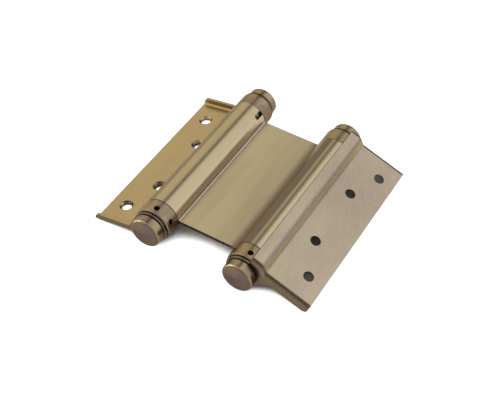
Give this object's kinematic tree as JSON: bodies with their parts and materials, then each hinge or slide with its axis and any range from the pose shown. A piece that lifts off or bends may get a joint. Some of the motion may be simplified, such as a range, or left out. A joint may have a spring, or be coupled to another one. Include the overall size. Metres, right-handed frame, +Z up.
{
  "type": "double action spring hinge",
  "caption": "Double action spring hinge: stepped pressed leaves swing either way on spring barrels curled from the edges of a middle web plate, with tension collars and turned end caps.",
  "frame": {"origin": "on the surface the hinge lies on, under the middle of its outline", "axes": "+Z up from the surface, +Y along both barrels from the tension collars to the anchored ends, +X from the left leaf to the right leaf"},
  "size_m": [0.1472, 0.1388, 0.0269],
  "materials": {
    "pressed_leaf": "antique brass plate on steel, brushed along the barrels",
    "curled_web": "antique brass plate on steel, brushed along the barrels",
    "turned_ring": "antique brass plate on steel, turned",
    "turned_cap": "darker antique brass plate on steel, turned face",
    "spring_steel": "oiled spring steel",
    "plain_steel": "bright drawn steel"
  },
  "bodies": {
    "web": {"web_plate": "curled_web", "left_anchor_plug": "turned_ring", "left_anchor_pin": "plain_steel", "left_torsion_spring": "spring_steel", "right_anchor_plug": "turned_ring", "right_anchor_pin": "plain_steel", "right_torsion_spring": "spring_steel"},
    "left_wing": {"left_leaf": "pressed_leaf", "left_spindle": "plain_steel", "left_far_cap": "turned_cap", "left_near_cap": "turned_cap", "left_far_washer": "plain_steel", "left_near_washer": "plain_steel"},
    "left_collar": {"left_tension_collar": "turned_ring"},
    "right_wing": {"right_leaf": "pressed_leaf", "right_spindle": "plain_steel", "right_far_cap": "turned_cap", "right_near_cap": "turned_cap", "right_far_washer": "plain_steel", "right_near_washer": "plain_steel"},
    "right_collar": {"right_tension_collar": "turned_ring"}
  },
  "joints": [
    {"name": "left_leaf_swing", "type": "hinge", "parent": "web", "child": "left_wing", "pos_m": [-0.03199, 0, 0.01544], "axis": [0, 1, 0], "range_deg": [-79.03, 194.97]},
    {"name": "left_collar_wind", "type": "hinge", "parent": "web", "child": "left_collar", "pos_m": [-0.03199, 0, 0.01544], "axis": [0, 1, 0], "range_deg": [-270, 0], "stiffness_Nm_per_rad": 1.5, "deforming": ["left_torsion_spring"]},
    {"name": "right_leaf_swing", "type": "hinge", "parent": "web", "child": "right_wing", "pos_m": [0.03009, 0, 0.0115], "axis": [0, 1, 0], "range_deg": [-108.61, 165.39]},
    {"name": "right_collar_wind", "type": "hinge", "parent": "web", "child": "right_collar", "pos_m": [0.03009, 0, 0.0115], "axis": [0, 1, 0], "range_deg": [-270, 0], "stiffness_Nm_per_rad": 1.5, "deforming": ["right_torsion_spring"]}
  ]
}
